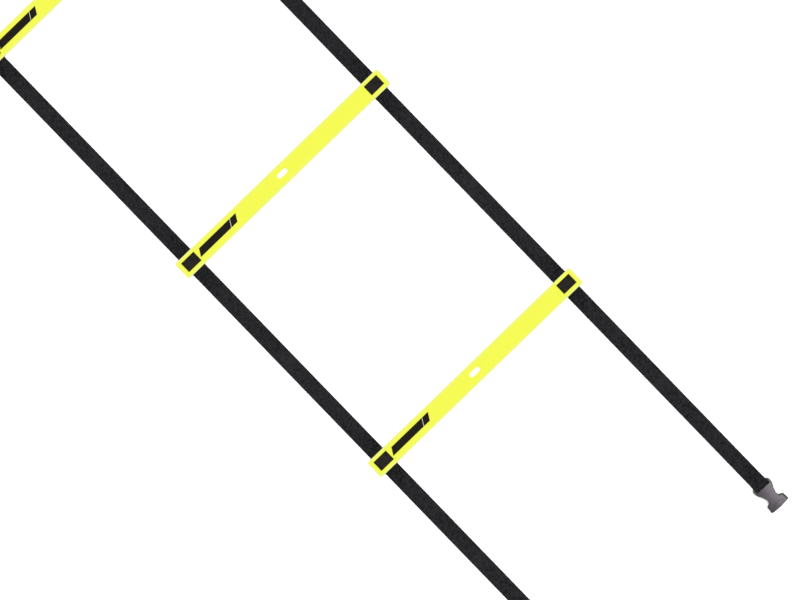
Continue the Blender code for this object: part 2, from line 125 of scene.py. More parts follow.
CREASE_SHARE = 0.09
TOWARD_RUNG_REACH = 65.0 * MM
BOUNCE_LIGHT_REACH = 9.0 * MM
BOUNCE_LIGHT_BLUR = 1.0 * MM
# Painted highlight along the crest of the loop over a buckle bar, from this height up
CREST_HIGHLIGHT_HEIGHT = 7.05 * MM
CREST_HIGHLIGHT_RISE = 0.3 * MM
# Painted shade on the side of the loop past the bar, which falls away towards the buckle's slot
LOOP_SHADE_START = 0.4 * MM
LOOP_SHADE_BLUR = 0.8 * MM
SEAM_REACH = 45.0 * MM
SEAM_BLUR = 12.0 * MM
WEBBING_ROUGH = 0.92
WEBBING_GLOSS = 0.05

# How much paler or darker each of these makes the webbing, the painted highlight on the loop crest and
# the painted loop shade among them
WEAVE_PALER = 0.75
STITCH_PALER = 0.8
DUST_PALER = 0.8
CREASE_PALER = 0.16
CREST_HIGHLIGHT_PALER = 0.45
TOWARD_RUNG_DARKER = 0.40
SEAM_DARKER = 0.15
LOOP_SHADE_DARKER = 0.45
WEBBING_DARKER = 0.54

# How much of the webbing in a rung's window takes the painted bounce light, in patches after the dust
# and the stitches
BOUNCE_LIGHT_FROM_DUST = 1.5
BOUNCE_LIGHT_FROM_STITCH = 0.3
BOUNCE_LIGHT_LESS = 0.15

# What the selvedge and the dust add to the webbing's relief, and the weave to its smoothness
SELVEDGE_RELIEF_SHARE = 0.4
DUST_RELIEF_SHARE = 0.2
WEAVE_SMOOTHER = 0.14

# Bar tacks
TACK_STROKES = 30
TACK_THREAD = 0.42 * MM
TACK_SINK = 0.10 * MM
TACK_STROKE_STEPS = 5
THREAD_DEEP = (0.003, 0.003, 0.003, 1.0)
THREAD_PALE = (0.014, 0.014, 0.015, 1.0)
THREAD_ROUGH = 0.5
THREAD_TWIST_ROUGH = 0.2
THREAD_GLOSS = 0.1

# Rungs, with the print measured from the middle of the rung
YELLOW_DEEP = (0.895, 0.940, 0.074, 1.0)
YELLOW_PALE = (0.925, 0.970, 0.086, 1.0)
# Painted highlight: the paler yellow of the rung's rounded rim, within this reach of its sides and ends
YELLOW_RIM_HIGHLIGHT = (0.870, 0.930, 0.290, 1.0)
RIM_HIGHLIGHT_REACH = 4.5 * MM
PRINT_DEEP = (0.0060, 0.0050, 0.0030, 1.0)
PRINT_PALE = (0.0210, 0.0175, 0.0120, 1.0)
PRINT_WHITE = (0.850, 0.840, 0.640, 1.0)
PRINT_START = -178.8 * MM
PRINT_LENGTH = 65.9 * MM
PRINT_GAP = 1.0 * MM
PRINT_SHORT_LENGTH = 12.6 * MM
PRINT_HEIGHT = 12.4 * MM
PRINT_SHIFT = 1.4 * MM
PRINT_SLANT = 0.6
PRINT_BLUR = 0.15 * MM
PRINT_FLOOR = 4.0 * MM
# Painted shade on the floor of each window under the strap, where the gaps beside the strap lie in
# shadow
WINDOW_FLOOR_SHADE = (0.020, 0.017, 0.006, 1.0)
WINDOW_SHADE_START = 185.2 * MM
WINDOW_SHADE_END = 212.0 * MM
WINDOW_SHADE_REACH = 9.4 * MM
WINDOW_SHADE_FLOOR = 0.6 * MM
WINDOW_SHADE_TOP = 2.0 * MM
RUNG_ROUGH = 0.36
RUNG_CLOUD_ROUGH = 0.10
RUNG_GRAIN_ROUGH = 0.06
PRINT_ROUGH = 0.40
PRINT_RELIEF_SHARE = 0.5
RUNG_GLOSS = 0.08

# Buckle socket, with its waist and its mouth as half widths
SOCKET_SLOT_FRONT = 4.7 * MM
SOCKET_SLOT_HALF_WIDTH = 13.1 * MM
SOCKET_ARM_WIDTH = 3.5 * MM
SOCKET_ARM_TAPER = 2.8 * MM
SOCKET_ARM_TAPER_LENGTH = 3.8 * MM
SOCKET_LENGTH = 38.1 * MM
SOCKET_BULGE = 1.4 * MM
SOCKET_WAIST = 9.25 * MM
SOCKET_MOUTH = 17.8 * MM
SOCKET_THICKNESS = 9.0 * MM
SOCKET_MOUTH_SINK = 0.4 * MM
SOCKET_ROUND = 0.9 * MM
SOCKET_ARM_ROUND = 1.5 * MM
SOCKET_BAND_ROUND = 3.4 * MM
SOCKET_ROUND_STEPS = 6
SLOT_FRONT_ROUND = 0.7 * MM
SOCKET_CROWN = 1.0 * MM
CROWN_STEPS = 16
SOCKET_WALL = 1.9 * MM
SOCKET_SIDE_WALL = 3.0 * MM
SOCKET_FLOOR = 7.0 * MM
SOCKET_BAR_RADIUS = 2.0 * MM
# Places along the socket and how far its side stands between the waist and its full half width
NECK_SHARES = (
    (0.0, 1.0), (0.06, 0.92), (0.12, 0.80), (0.242, 0.43),
    (0.365, 0.185), (0.46, 0.035), (0.50, 0.0),
)
FLARE_SHARES = ((0.56, 0.03),)
BAND_SHARES = ((0.617, 0.13), (0.686, 0.85), (0.748, 0.905), (0.85, 0.93), (1.0, 1.0))
MOUTH_CORNER_SHARE = 0.66
WINDOW_SHARES = (0.34, 0.40)
SOCKET_REACH = SOCKET_SLOT_FRONT + SOCKET_LENGTH + SOCKET_BULGE
ARCH_HALF_WIDTH = 10.5 * MM
ARCH_HEIGHT = 7.0 * MM
ARCH_FROM_MOUTH = 1.3 * MM
ARCH_GROOVE = 0.35 * MM
ARCH_STEPS = 16
BAR_SIDES = 32
CURVE_STEPS = 12
GREY_DEEP = (0.042, 0.033, 0.043, 1.0)
GREY_PALE = (0.078, 0.056, 0.078, 1.0)
# Painted shade: the darker grey of the sides, and of the arms beside the strap
GREY_SIDE_SHADE = (0.018, 0.016, 0.018, 1.0)
ARM_SHADE_DARK = 0.6
ARM_SHADE_BLUR = 1.0 * MM
# Paler towards this place along the buckle, over this reach
MIDDLE_PLACE = 23.5 * MM
MIDDLE_REACH = 14.5 * MM
MIDDLE_PALER = 0.65
BUCKLE_CLOUD_PALER = 0.5
BUCKLE_MOTTLE_PALER = 0.9
BUCKLE_DARKER = 0.55
# Beyond this slant a face turns into a side with painted shade
FACE_START = 0.9  # cosine of the slant where a side turns into a face
FACE_BLUR = 1 / 11
BUCKLE_ROUGH = 0.20
BUCKLE_CLOUD_ROUGH = 0.06
BUCKLE_GLOSS = 0.35

# Noises: patches to a metre, and layers of detail
RUNG_CLOUD = (22.0, 3.0)
RUNG_GRAIN = (2600.0, 2.0)
PRINT_MOTTLE = (420.0, 3.0)
WEBBING_DUST = (210.0, 4.0)
THREAD_TWIST = (5200.0, 1.0)
BUCKLE_CLOUD = (130.0, 3.0)
BUCKLE_GRAIN = (3800.0, 2.0)
BUCKLE_MOTTLE = (420.0, 3.0)

# Reliefs: strength and height
RUNG_RELIEF = (0.12, 0.08 * MM)
WEBBING_RELIEF = (0.55, 0.16 * MM)
THREAD_RELIEF = (0.4, 0.05 * MM)
BUCKLE_RELIEF = (0.06, 0.05 * MM)

# Edges
EDGE_ROUND = 0.25 * MM
EDGE_STEPS = 2
TUBE_RESOLUTION = 1
WELD = 0.001 * MM
FLAT_ANGLE = math.radians(1.0)
SHARP_ANGLE = math.radians(32.0)
OVERRUN = 2.0 * MM
RIM_ANGLE = math.radians(60.0)
FAR = 1.0  # beyond any edge or neighbour that a distance is measured to

# How a flat outline is turned before it is used
LYING = Matrix.Identity(4)
SEEN_FROM_SIDE = Matrix(((0, 0, 1), (1, 0, 0), (0, 1, 0))).to_4x4()

# Shader sockets
MIX_LOW = 6
MIX_HIGH = 7
MIX_RESULT = 2
SEEING_RAYS = ("Is Camera Ray", "Is Glossy Ray", "Is Transmission Ray")

JOINTS = {joint["name"]: joint for joint in frame["joints"]}
RUNG_COUNT = sum(name.startswith("rung_") for name in frame["nodes"])
SIDES = ("left", "right")


def joint_place(name):
    """Where a joint of the frame has its axis."""
    return Vector(JOINTS[name]["pos_m"])


def middle(node):
    """The middle of a frame piece's box."""
    low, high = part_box(node)
    return (low + high) / 2


def bay_middle(number):
    """Distance along the ladder of the middle of a bay, counted from 1 at the front end."""
    return middle(f"left_strap_{number}").y


strap_low, strap_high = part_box("left_strap_1")
STRAP_WIDTH = strap_high.x - strap_low.x
STRAP_THICKNESS = strap_high.z - strap_low.z
STRAP_HEIGHT = (strap_low.z + strap_high.z) / 2
BAY_START = bay_middle(1)
RUNG_PITCH = bay_middle(2) - BAY_START
CORD_PITCH = (STRAP_WIDTH - 2 * SELVEDGE_WIDTH) / CORDS_ACROSS
rung_low, rung_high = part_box("rung_1")
RUNG_LENGTH = rung_high.x - rung_low.x
RUNG_WIDTH = rung_high.y - rung_low.y


def linked(name, data):
    """A new object in the scene."""
    made = bpy.data.objects.new(name, data)
    bpy.context.scene.collection.objects.link(made)
    return made


def finished_mesh(bm, name):
    """The mesh that holds a bmesh's faces. The bmesh is freed."""
    mesh = bpy.data.meshes.new(name)
    bm.to_mesh(mesh)
    bm.free()
    return mesh


def add_skin(bm, rings):
    """Faces between each ring of points and the next."""
    for ring, following in zip(rings, rings[1:]):
        for index in range(len(ring)):
            beside = (index + 1) % len(ring)
            bm.faces.new((ring[index], ring[beside], following[beside], following[index]))


def shown(name, mesh, material):
    """An object in the scene with one material."""
    piece = linked(name, mesh)
    mesh.materials.clear()
    mesh.materials.append(material)
    return piece


def webbing_section():
    """Outline of the webbing across its width: cords side by side and a rounded selvedge."""
    half = STRAP_WIDTH / 2
    crest = STRAP_THICKNESS / 2
    field = half - SELVEDGE_WIDTH
    rim = crest - SELVEDGE_DROP
    bend = SELVEDGE_ROUND / 2
    corner = half - bend * SELVEDGE_CORNER_SHARE
    top = [(-half, 0.0), (-corner, rim - bend), (-half + bend, rim), (-field - bend, rim)]
    for cord in range(CORDS_ACROSS):
        start = -field + cord * CORD_PITCH
        top += [
            (start, crest - CORD_VALLEY),
            (start + CORD_PITCH / 4, crest - CORD_SHOULDER),
            (start + CORD_PITCH / 2, crest),
            (start + CORD_PITCH * 3 / 4, crest - CORD_SHOULDER),
        ]
    top += [(field, crest - CORD_VALLEY), (field + bend, rim), (half - bend, rim)]
    top += [(corner, rim - bend), (half, 0.0)]
    bottom = [(across, -height) for across, height in reversed(top[1:-1])]
    return top + bottom


def spread(start, end, count):
    """Evenly spaced values from start to end, both included."""
    return [start + (end - start) * step / count for step in range(count + 1)]


def rows_between(start, end):
    """Rows along a straight length of webbing."""
    return spread(start, end, max(1, round(abs(end - start) / ROW_STEP)))


def rows_over_fold(start, fold, end):
    """Rows along webbing that folds: far apart on both sides and close together at the fold."""
    rows = rows_between(start, fold - FOLD_REACH)[:-1]
    rows += spread(fold - FOLD_REACH, fold + FOLD_REACH, FOLD_ROWS)
    return rows + rows_between(fold + FOLD_REACH, end)[1:]


def make_webbing(name, x, path, lay_start, lay_way):
    """Webbing along a path of points across Y and Z, which keeps how its weave lies.

    The lay is stored as the distance across the webbing, the distance along it and the height
    above the ground at which it lies at rest.
    """
    bm = bmesh.new()
    lay = bm.verts.layers.float_vector.new(LAY)
    section = webbing_section()
    rows = []
    travelled = 0.0
    for index, point in enumerate(path):
        before = path[max(index - 1, 0)]
        after = path[min(index + 1, len(path) - 1)]
        heading = (after - before).normalized()
        normal = Vector((-heading.y, heading.x))
        travelled += (point - before).length
        row = []
        for across, height in section:
            place = point + normal * height
            vert = bm.verts.new((x + across, place.x, place.y))
            vert[lay] = (across, lay_start + lay_way * travelled, point.y)
            row.append(vert)
        rows.append(row)
    add_skin(bm, rows)
    for row in (rows[0], rows[-1]):
        for edge in bm.faces.new(row).edges:
            edge.smooth = False
    bmesh.ops.recalc_face_normals(bm, faces=bm.faces)
    mesh = finished_mesh(bm, name)
    mesh.shade_smooth()
    return shown(name, mesh, FINISHES["webbing"])


def blend_over_fold(piece):
    """Bakes the webbing's place into its mesh."""
    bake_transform(piece)


def add_webbing_between_rungs(side, number):
    """Webbing from the middle of one bay to the middle of the next."""
    x = middle(f"{side}_strap_{number}").x
    start = bay_middle(number)
    end = bay_middle(number + 1)
    fold = joint_place(f"fold_{number}").y
    path = [Vector((y, STRAP_HEIGHT)) for y in rows_over_fold(start, fold, end)]
    piece = make_webbing(f"{side}_webbing_{number}", x, path, start, 1)
    blend_over_fold(piece)
    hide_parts(f"{side}_strap_{number}", f"{side}_strap_{number + 1}")


def bend_points(before, corner, after):
    """A short round bend in place of a corner."""
    into = corner + (before - corner).normalized() * THROAT_BEND
    out = corner + (after - corner).normalized() * THROAT_BEND
    points = []
    for share in spread(0.0, 1.0, BEND_ROWS):
        points.append(into.lerp(corner, share).lerp(corner.lerp(out, share), share))
    return points


def touch_angle(point, centre, radius, turn):
    """Angle round a circle where the line from a point touches it, on one side of the circle."""
    away = point - centre
    return math.atan2(away.y, away.x) % (2 * math.pi) + turn * math.acos(radius / away.length)


def loop_path(length, bar_height):
    """Middle line of a strap end, from its bay out to the loop round the bar and back.

    The points hold the distance from the middle of the bay and the height above the ground.
    """
    fold = RUNG_PITCH / 2
    throat = length - LOOP_THROAT
    sewn = throat - SEWN_LENGTH
    bar = Vector((length, bar_height))
    top = Vector((throat, SEWN_TOP_HEIGHT))
    below = Vector((throat, SEWN_RETURN_HEIGHT))
    top_angle = touch_angle(top, bar, LOOP_RADIUS, -1)
    below_angle = touch_angle(below, bar, LOOP_RADIUS, 1)
    leaves = []
    for angle in spread(top_angle, below_angle - 2 * math.pi, LOOP_ROWS):
        radius = LOOP_RADIUS + LOOP_SLACK * max(math.cos(angle), 0.0) ** 2
        leaves.append(bar + radius * Vector((math.cos(angle), math.sin(angle))))
    out = [Vector((y, STRAP_HEIGHT)) for y in rows_over_fold(0.0, fold, sewn)]
    out += [Vector((y, SEWN_TOP_HEIGHT)) for y in rows_between(sewn, throat - THROAT_BEND)[1:]]
    out += bend_points(out[-1], top, leaves[0])[1:]
    back = bend_points(leaves[-1], below, Vector((sewn, SEWN_RETURN_HEIGHT)))
    rest = [Vector((y, SEWN_RETURN_HEIGHT)) for y in rows_between(throat - THROAT_BEND, sewn)[1:]]
    return out + leaves + back + rest


def add_strap_end(side, end_name, end):
    """Webbing from the middle of the last bay to the sewn loop round a buckle bar."""
    prefix = f"{side}_{end_name}"
    buckle = {"front": "socket", "rear": "plug"}[end_name]
    bar = joint_place(f"{side}_{buckle}_swing")
    number = 1 if end < 0 else RUNG_COUNT
    start = bay_middle(number)
    path = [Vector((start + end * point.x, point.y)) for point in loop_path(abs(bar.y - start), bar.z)]
    piece = make_webbing(f"{prefix}_webbing", bar.x, path, start, end)
    blend_over_fold(piece)
    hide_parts(f"{side}_strap_{number}", f"{prefix}_strap_end")
    for which in ("inner", "outer"):
        add_bar_tack(f"{prefix}_bar_tack_{which}")


def tube_mesh(name, lines, radius):
    """Round cord along each line of points."""
    curve = bpy.data.curves.new(name, "CURVE")
    curve.dimensions = "3D"
    curve.bevel_depth = radius
    curve.bevel_resolution = TUBE_RESOLUTION
    curve.use_fill_caps = True
    for points in lines:
        spline = curve.splines.new("POLY")
        spline.points.add(len(points) - 1)
        for knot, point in zip(spline.points, points):
            knot.co = (*point, 1.0)
    return mesh_of_curve(curve)


def mesh_of_curve(curve):
    """The mesh that a curve makes."""
    source = linked(curve.name, curve)
    depsgraph = bpy.context.evaluated_depsgraph_get()
    mesh = bpy.data.meshes.new_from_object(source.evaluated_get(depsgraph))
    bpy.data.objects.remove(source)
    return mesh


def tack_line(low, high, surface, outward):
    """One face of a bar tack: thread that runs to and fro across it, arched over each stroke."""
    across = spread(low.x, high.x, TACK_STROKES)
    points = []
    for stroke in range(TACK_STROKES):
        ends = (low.y, high.y) if stroke % 2 == 0 else (high.y, low.y)
        for step in range(TACK_STROKE_STEPS):
            share = step / TACK_STROKE_STEPS
            x = across[stroke] + (across[stroke + 1] - across[stroke]) * share
            rise = TACK_THREAD / 2 * math.sin(math.pi * share) - TACK_SINK
            points.append((x, ends[0] + (ends[1] - ends[0]) * share, surface + outward * rise))
    return points


def add_bar_tack(node):
    """A dense zigzag seam right through the webbing's two layers."""
    low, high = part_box(node)
    top = tack_line(low, high, SEWN_TOP_HEIGHT + STRAP_THICKNESS / 2, 1)
    underside = tack_line(low, high, SEWN_RETURN_HEIGHT - STRAP_THICKNESS / 2, -1)
    name = f"{node}_stitches"
    mesh = tube_mesh(name, [top, underside], TACK_THREAD / 2)
    mesh.shade_smooth()
    piece = shown(name, mesh, FINISHES["thread"])
    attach(piece, frame["nodes"][node]["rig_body"])
    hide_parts(node)


def soften_edges(piece):
    """A slight round on every sharp edge, with even shading over the flat faces."""
    rounding = piece.modifiers.new("edge_round", "BEVEL")
    rounding.width = EDGE_ROUND
    rounding.segments = EDGE_STEPS
    rounding.limit_method = "ANGLE"
    rounding.angle_limit = SHARP_ANGLE
    shading = piece.modifiers.new("even_shading", "WEIGHTED_NORMAL")
    shading.keep_sharp = True


def welded_copy(node, name, origin):
    """The mesh of a frame piece with its triangles joined into whole faces, seen from an origin."""
    source = frame["nodes"][node].data
    bm = bmesh.new()
    verts = [bm.verts.new(vertex.co) for vertex in source.vertices]
    for polygon in source.polygons:
        bm.faces.new([verts[index] for index in polygon.vertices])
    bmesh.ops.remove_doubles(bm, verts=bm.verts, dist=WELD)
    bmesh.ops.dissolve_limit(bm, angle_limit=FLAT_ANGLE, verts=bm.verts, edges=bm.edges)
    bmesh.ops.translate(bm, vec=-origin, verts=bm.verts)
    mesh = finished_mesh(bm, name)
    mesh.shade_smooth()
    return mesh


def add_moulding(node, origin, finish, slot, mesh=None, turn=0.0):
    """A moulded piece with softened edges, in place of a frame piece and copied from it if need be."""
    name = f"{node}_moulding"
    mesh = mesh or welded_copy(node, name, origin)
    piece = shown(name, mesh, FINISHES[finish])
    piece.location = origin
    piece.rotation_euler.z = turn
    soften_edges(piece)
    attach(piece, frame["nodes"][node]["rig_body"])
    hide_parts(node)


def corners(*points):
    """Points that an outline joins with straight lines."""
    return [(x, y, False) for x, y in points]


def smooth(*points):
    """Points that an outline runs through in one curve."""
    return [(x, y, True) for x, y in points]


def mirrored(points):
    """The same stretch of outline on the other side of the Y axis, run backwards."""
    return [(-x, y, is_smooth) for x, y, is_smooth in reversed(points)]


def flat_solid(name, outline, thickness, turn=LYING):
    """A flat outline given a thickness and turned."""
    curve = bpy.data.curves.new(name, "CURVE")
    curve.dimensions = "2D"
    curve.fill_mode = "BOTH"
    curve.extrude = thickness / 2
    curve.resolution_u = CURVE_STEPS
    spline = curve.splines.new("BEZIER")
    spline.bezier_points.add(len(outline) - 1)
    for knot, (x, y, is_smooth) in zip(spline.bezier_points, outline):
        knot.co = (x, y, 0)
        knot.handle_left_type = "AUTO" if is_smooth else "VECTOR"
        knot.handle_right_type = knot.handle_left_type
    spline.use_cyclic_u = True
    mesh = mesh_of_curve(curve)
    bm = bmesh.new()
    bm.from_mesh(mesh)
    bmesh.ops.remove_doubles(bm, verts=bm.verts, dist=WELD)
    bmesh.ops.dissolve_limit(bm, angle_limit=FLAT_ANGLE / 2, verts=bm.verts, edges=bm.edges)
    bmesh.ops.recalc_face_normals(bm, faces=bm.faces)
    bm.to_mesh(mesh)
    bm.free()
    mesh.transform(turn)
    return mesh


def bar_mesh():
    """The round bar that the webbing is looped over."""
    bm = bmesh.new()
    length = 2 * SOCKET_SLOT_HALF_WIDTH + SOCKET_ARM_WIDTH
    radius = SOCKET_BAR_RADIUS
    bmesh.ops.create_cone(
        bm, cap_ends=True, segments=BAR_SIDES, radius1=radius, radius2=radius, depth=length
    )
    mesh = finished_mesh(bm, "webbing_bar")
    mesh.transform(Matrix.Rotation(math.pi / 2, 4, "Y"))
    return mesh


def arch_line(height):
    """Line of the arch moulded into a socket's face, whose feet stand near the mouth."""
    radius = (ARCH_HALF_WIDTH ** 2 + ARCH_HEIGHT ** 2) / (2 * ARCH_HEIGHT)
    foot = SOCKET_SLOT_FRONT + SOCKET_LENGTH - ARCH_FROM_MOUTH
    centre = foot - ARCH_HEIGHT + radius
    swing = math.acos((radius - ARCH_HEIGHT) / radius)
    return [
        (radius * math.sin(angle), centre - radius * math.cos(angle), height)
        for angle in spread(-swing, swing, ARCH_STEPS)
    ]


def socket_sides():
    """Right side of the socket's outline, from its rear to its mouth."""

    def stretch(shares, full):
        """Points from places along the socket and shares of the width beyond its waist."""
        return [
            (SOCKET_WAIST + (full - SOCKET_WAIST) * width, SOCKET_SLOT_FRONT + SOCKET_LENGTH * along)
            for along, width in shares
        ]

    half = SOCKET_SLOT_HALF_WIDTH + SOCKET_ARM_WIDTH
    rear = -SOCKET_THICKNESS / 2
    arm = corners((half - SOCKET_ARM_TAPER, rear), (half, rear + SOCKET_ARM_TAPER_LENGTH))
    neck = stretch(NECK_SHARES, half)
    flare = stretch(FLARE_SHARES, SOCKET_MOUTH)
    band_points = stretch(BAND_SHARES, SOCKET_MOUTH)
    return arm + corners(neck[0]) + smooth(*neck[1:], *flare) + corners(*band_points)


def socket_side_view():
    """The socket seen from the side, round at its rear end. It only cuts that end."""
    radius = SOCKET_THICKNESS / 2
    steps = spread(math.pi / 2, 3 * math.pi / 2, BAR_SIDES)
    rear = [(radius * math.cos(angle), radius * math.sin(angle)) for angle in steps]
    past = radius + OVERRUN
    reach = SOCKET_REACH + OVERRUN
    return corners(*rear, (reach, -past), (reach, past))


def slot_cutter():
    """Cuts the slot that the webbing passes through, with round rims along its sides and front."""
    half = SOCKET_SLOT_HALF_WIDTH
    past = SOCKET_THICKNESS
    turns = spread(0.0, math.pi / 2, SOCKET_ROUND_STEPS)
    wall = SOCKET_THICKNESS / 2 - SLOT_FRONT_ROUND
    upper = [(wall + SLOT_FRONT_ROUND * math.sin(turn), 1 - math.cos(turn)) for turn in turns]
    upper.append((past, 1.0))
    levels = [(-z, share) for z, share in reversed(upper)] + upper
    bm = bmesh.new()
    rings = []
    front = SOCKET_SLOT_FRONT
    for z, share in levels:
        x = half + SOCKET_ARM_ROUND * share
        y = front + SLOT_FRONT_ROUND * share
        ring = [(x, -past), (x, front - SOCKET_ARM_ROUND), (half, y)]
        ring += [(-across, along) for across, along in reversed(ring)]
        rings.append([bm.verts.new((*point, z)) for point in ring])
    add_skin(bm, rings)
    bm.faces.new(rings[0])
    bm.faces.new(rings[-1])
    bmesh.ops.recalc_face_normals(bm, faces=bm.faces)
    return finished_mesh(bm, "slot")


def socket_hollow():
    """Outline of the hollow that takes the prongs, which breaks out at the waist."""
    floor = SOCKET_SLOT_FRONT + SOCKET_FLOOR
    start, full = (SOCKET_SLOT_FRONT + SOCKET_LENGTH * share for share in WINDOW_SHARES)
    inner = SOCKET_MOUTH - SOCKET_SIDE_WALL
    reach = SOCKET_REACH + OVERRUN
    right = corners((SOCKET_WAIST, floor), (SOCKET_WAIST, start), (inner, full), (inner, reach))
    return right + mirrored(right)


def cut_and_joined(blank, steps):
    """The mesh of a piece once each tool shape has cut it or been joined to it."""
    helpers = []
    for operation, mesh in steps:
        helper = linked(mesh.name, mesh)
        helpers.append(helper)
        change = blank.modifiers.new(mesh.name, "BOOLEAN")
        change.operation = operation
        change.solver = "EXACT"
        change.object = helper
    depsgraph = bpy.context.evaluated_depsgraph_get()
    mesh = bpy.data.meshes.new_from_object(blank.evaluated_get(depsgraph))
    for made in [blank, *helpers]:
        bpy.data.objects.remove(made)
    return mesh


def round_rims(blank):
    """Rounds a socket blank's edges, with larger radii at its arms and beside its mouth."""
    flare_start = SOCKET_SLOT_FRONT + SOCKET_LENGTH * FLARE_SHARES[0][0]
    band_start = SOCKET_SLOT_FRONT + SOCKET_LENGTH * BAND_SHARES[1][0]
    mouth = SOCKET_SLOT_FRONT + SOCKET_LENGTH - WELD
    least = SOCKET_ROUND / SOCKET_BAND_ROUND
    at_arms = SOCKET_ARM_ROUND / SOCKET_BAND_ROUND
    bm = bmesh.new()
    bm.from_mesh(blank.data)
    weight = bm.edges.layers.float.new("bevel_weight_edge")
    for edge in bm.edges:
        start, end = (vert.co for vert in edge.verts)
        along = (start.y + end.y) / 2
        if start.z == end.z and along < SOCKET_SLOT_FRONT:
            edge[weight] = at_arms
        elif start.z == end.z and along < mouth:
            share = (along - flare_start) / (band_start - flare_start)
            edge[weight] = least + (1 - least) * min(max(share, 0.0), 1.0)
        elif start.z == end.z or edge.calc_face_angle() > RIM_ANGLE:
            edge[weight] = least
    bm.to_mesh(blank.data)
    bm.free()
    rounding = blank.modifiers.new("rim", "BEVEL")
    rounding.width = SOCKET_BAND_ROUND
    rounding.segments = SOCKET_ROUND_STEPS
    rounding.limit_method = "WEIGHT"
    rounding.use_clamp_overlap = False


def shaped_faces(mesh):
    """The mesh with faces that are highest along its middle line and sink towards sides and mouth."""
    bm = bmesh.new()
    bm.from_mesh(mesh)
    for x in spread(-SOCKET_MOUTH, SOCKET_MOUTH, CROWN_STEPS):
        whole = [*bm.verts, *bm.edges, *bm.faces]
        bmesh.ops.bisect_plane(bm, geom=whole, plane_co=(x, 0, 0), plane_no=(1, 0, 0))
    for vert in bm.verts:
        fall = SOCKET_CROWN * (vert.co.x / SOCKET_MOUTH) ** 2
        sink = SOCKET_MOUTH_SINK * max(vert.co.y, 0.0) / SOCKET_REACH
        vert.co.z *= 1 - (fall + sink) / (SOCKET_THICKNESS / 2)
    bm.to_mesh(mesh)
    bm.free()
    return mesh


def make_socket_mesh():
    """Socket half of a buckle, with its bar at the origin and its mouth along +Y."""
    corner_reach = SOCKET_SLOT_FRONT + SOCKET_LENGTH + SOCKET_BULGE * (1 - MOUTH_CORNER_SHARE ** 2)
    right = socket_sides() + corners((SOCKET_MOUTH * MOUTH_CORNER_SHARE, corner_reach))
    outline = right + smooth((0, SOCKET_REACH)) + mirrored(right)
    blank = linked("blank", flat_solid("blank", outline, SOCKET_THICKNESS))
    round_rims(blank)
    hollow_height = SOCKET_THICKNESS - 2 * SOCKET_WALL
    face = SOCKET_THICKNESS / 2
    arches = [arch_line(face), arch_line(-face)]
    return shaped_faces(cut_and_joined(blank, [
        ("INTERSECT", flat_solid("side_view", socket_side_view(), SOCKET_LENGTH, SEEN_FROM_SIDE)),
        ("DIFFERENCE", slot_cutter()),
        ("UNION", bar_mesh()),
        ("DIFFERENCE", flat_solid("hollow", socket_hollow(), hollow_height)),
        ("DIFFERENCE", tube_mesh("arches", arches, ARCH_GROOVE)),
    ]))


def add_ladder():
    """Every piece of the ladder."""
    for number in range(1, RUNG_COUNT + 1):
        rung = middle(f"rung_{number}")
        add_moulding(f"rung_{number}", Vector((rung.x, rung.y, 0.0)), "rung", "rung_plastic")
    for side in SIDES:
        for number in range(1, RUNG_COUNT):
            add_webbing_between_rungs(side, number)
        add_strap_end(side, "front", -1)
        add_strap_end(side, "rear", 1)
        bar = joint_place(f"{side}_socket_swing")
        buckle = ("buckle", "buckle_plastic")
        add_moulding(f"{side}_socket_buckle", bar, *buckle, SOCKET_MESH.copy(), math.pi)
        bar = joint_place(f"{side}_plug_swing")
        add_moulding(f"{side}_plug_buckle", bar, *buckle)
        for which in ("inner", "outer"):
            add_moulding(f"{side}_plug_prong_{which}", bar, *buckle)


def add_ground():
    """The white floor under the ladder."""
    bm = bmesh.new()
    bmesh.ops.create_grid(bm, x_segments=1, y_segments=1, size=GROUND_SIZE / 2)
    ground = linked("ground", finished_mesh(bm, "ground"))
    ground.data.materials.append(ground_finish())


def add_lamp(name, light, lamp_spread, tilt=0.0):
    """A soft lamp overhead, tilted to shine from the right."""
    lamp = bpy.data.lights.new(name, "SUN")
    lamp.energy = light
    lamp.angle = lamp_spread
    linked(name, lamp).rotation_euler.y = tilt


def add_camera():
    """Looks straight down at the ladder's front end with a long lens, turned to lie across the view."""
    lens = bpy.data.cameras.new("overhead_camera")
    lens.lens = LENS
    lens.sensor_width = SENSOR
    camera = linked("overhead_camera", lens)
    camera.location = (*VIEW_MIDDLE, VIEW_WIDTH * LENS / SENSOR)
    camera.rotation_euler = (0.0, 0.0, VIEW_TURN)
    bpy.context.scene.camera = camera


class Signal:
    """A value that varies over a surface. Arithmetic on it adds Math nodes."""

    def __init__(self, finish, socket):
        self.finish = finish
        self.socket = socket

    def math(self, operation, *others, clamp=False):
        """The result of one Math node."""
        settings = {"operation": operation, "use_clamp": clamp}
        sockets = dict(enumerate((self, *others)))
        return self.finish.signal("Math", settings, sockets)

    def __add__(self, other):
        return self.math("ADD", other)

    def __sub__(self, other):
        return self.math("SUBTRACT", other)

    def __mul__(self, other):
        return self.math("MULTIPLY", other)

    def __pow__(self, other):
        return self.math("POWER", other)

    def __rsub__(self, other):
        return (self * -1).math("ADD", other)

    __radd__ = __add__
    __rmul__ = __mul__

    def __abs__(self):
        return self.math("ABSOLUTE")

    def clamped(self):
        """The value held between 0 and 1."""
        return self.math("ADD", 0.0, clamp=True)


